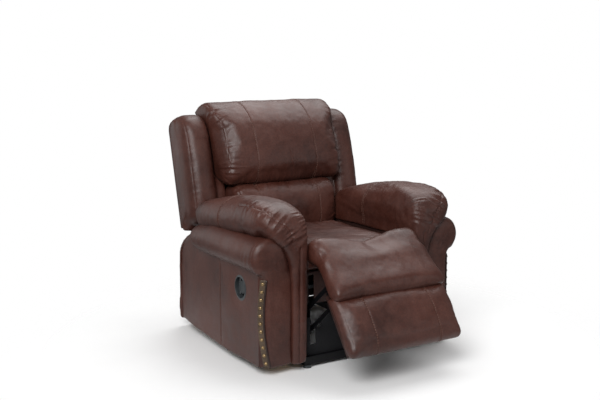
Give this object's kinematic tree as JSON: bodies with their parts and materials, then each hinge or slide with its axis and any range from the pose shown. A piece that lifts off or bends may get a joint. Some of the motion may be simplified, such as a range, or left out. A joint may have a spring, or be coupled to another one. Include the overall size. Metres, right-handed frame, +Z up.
{
  "type": "recliner armchair",
  "caption": "Recliner armchair with rolled pillow-top arms, a winged tilting back, a sliding seat and a chaise footrest that folds out on a steel linkage.",
  "frame": {"origin": "on the floor, under the middle of the chair's overall width and depth", "axes": "+Z up, the chair faces -Y, +X is the sitter's left"},
  "size_m": [1.006, 1.1962, 1.0253],
  "materials": {
    "brown_leather": "semi-gloss",
    "hardwood": "sawn",
    "black_steel": "satin",
    "zinc_steel": "satin",
    "antique_brass": "aged",
    "black_plastic": "satin",
    "white_nylon": "matt",
    "black_cloth": "matt"
  },
  "bodies": {
    "base": {"base_rail_right": "black_steel", "base_rail_left": "black_steel", "cross_rails": "black_steel", "feet": "black_plastic", "arm_frame_right": "hardwood", "arm_frame_left": "hardwood", "arm_inner_right": "brown_leather", "arm_inner_left": "brown_leather", "arm_side_right": "brown_leather", "arm_side_left": "brown_leather", "arm_back_right": "brown_leather", "arm_back_left": "brown_leather", "arm_roll_right": "brown_leather", "arm_roll_left": "brown_leather", "arm_pad_right": "brown_leather", "arm_pad_left": "brown_leather", "arm_front_right": "brown_leather", "arm_front_left": "brown_leather", "arm_drop_right": "brown_leather", "arm_drop_left": "brown_leather", "nail_trim": "brown_leather", "nailheads": "antique_brass", "rear_apron": "brown_leather", "front_skirt": "black_cloth", "handle_cup": "black_plastic", "handle_pin": "zinc_steel", "release_cable": "black_plastic", "latch_bracket": "zinc_steel"},
    "handle": {"handle_lever": "black_plastic"},
    "latch": {"latch_pawl": "zinc_steel"},
    "seat": {"seat_rail_front": "hardwood", "seat_rail_rear": "hardwood", "seat_rail_right": "hardwood", "seat_rail_left": "hardwood", "seat_springs": "zinc_steel", "seat_cushion": "brown_leather", "seat_valance": "brown_leather", "mech_plate_right": "black_steel", "mech_plate_left": "black_steel", "glide_blocks": "white_nylon"},
    "back": {"back_post_right": "hardwood", "back_post_left": "hardwood", "back_rail_top": "hardwood", "back_rail_bottom": "hardwood", "back_springs": "zinc_steel", "back_panel": "brown_leather", "head_pillow": "brown_leather", "lumbar_pillow": "brown_leather", "wing_right": "brown_leather", "wing_left": "brown_leather", "back_brackets": "black_steel"},
    "footrest": {"footrest_board": "brown_leather", "footrest_pad": "brown_leather", "chaise_pad": "brown_leather", "footrest_brackets": "black_steel"},
    "rear_crank": {"drive_tube": "zinc_steel", "rear_cranks": "black_steel"},
    "front_crank": {"front_cranks": "black_steel"},
    "upper_coupler": {"upper_couplers": "black_steel"},
    "lower_coupler": {"lower_couplers": "black_steel"}
  },
  "joints": [
    {"name": "seat_slide", "type": "slide", "parent": "base", "child": "seat", "axis": [0, -1, 0], "range_m": [0, 0.03]},
    {"name": "back_recline", "type": "hinge", "parent": "seat", "child": "back", "pos_m": [0, 0.43, 0.418], "axis": [-1, 0, 0], "range_deg": [0, 30]},
    {"name": "footrest_open", "type": "hinge", "parent": "seat", "child": "footrest", "pos_m": [0, -0.337, 0.49], "axis": [-1, 0, 0], "range_deg": [-36.8, 50]},
    {"name": "rear_crank_turn", "type": "hinge", "parent": "seat", "child": "rear_crank", "pos_m": [0, -0.08422, 0.27781], "axis": [-1, 0, 0], "range_deg": [-36.8, 50]},
    {"name": "front_crank_turn", "type": "hinge", "parent": "seat", "child": "front_crank", "pos_m": [0, -0.19146, 0.36783], "axis": [-1, 0, 0], "range_deg": [-36.8, 50]},
    {"name": "upper_coupler_turn", "type": "hinge", "parent": "rear_crank", "child": "upper_coupler", "pos_m": [0, -0.10216, 0.12889], "axis": [-1, 0, 0], "range_deg": [-50, 36.8]},
    {"name": "lower_coupler_turn", "type": "hinge", "parent": "rear_crank", "child": "lower_coupler", "pos_m": [0, -0.11292, 0.03954], "axis": [-1, 0, 0], "range_deg": [-50, 36.8]},
    {"name": "handle_pull", "type": "hinge", "parent": "base", "child": "handle", "pos_m": [-0.44508, -0.07809, 0.32], "axis": [0, 0, -1], "range_deg": [0, 28], "stiffness_Nm_per_rad": 0.6},
    {"name": "latch_lift", "type": "hinge", "parent": "base", "child": "latch", "pos_m": [-0.229, 0.084, 0.076], "axis": [-1, 0, 0], "range_deg": [0, 14]}
  ],
  "couplings": [
    {"joint": "seat_slide", "follows": "back_recline", "m_per_rad": 0.0573},
    {"joint": "rear_crank_turn", "follows": "footrest_open", "ratio": 1},
    {"joint": "front_crank_turn", "follows": "footrest_open", "ratio": 1},
    {"joint": "upper_coupler_turn", "follows": "footrest_open", "ratio": -1},
    {"joint": "lower_coupler_turn", "follows": "footrest_open", "ratio": -1},
    {"joint": "latch_lift", "follows": "handle_pull", "ratio": 0.5}
  ]
}
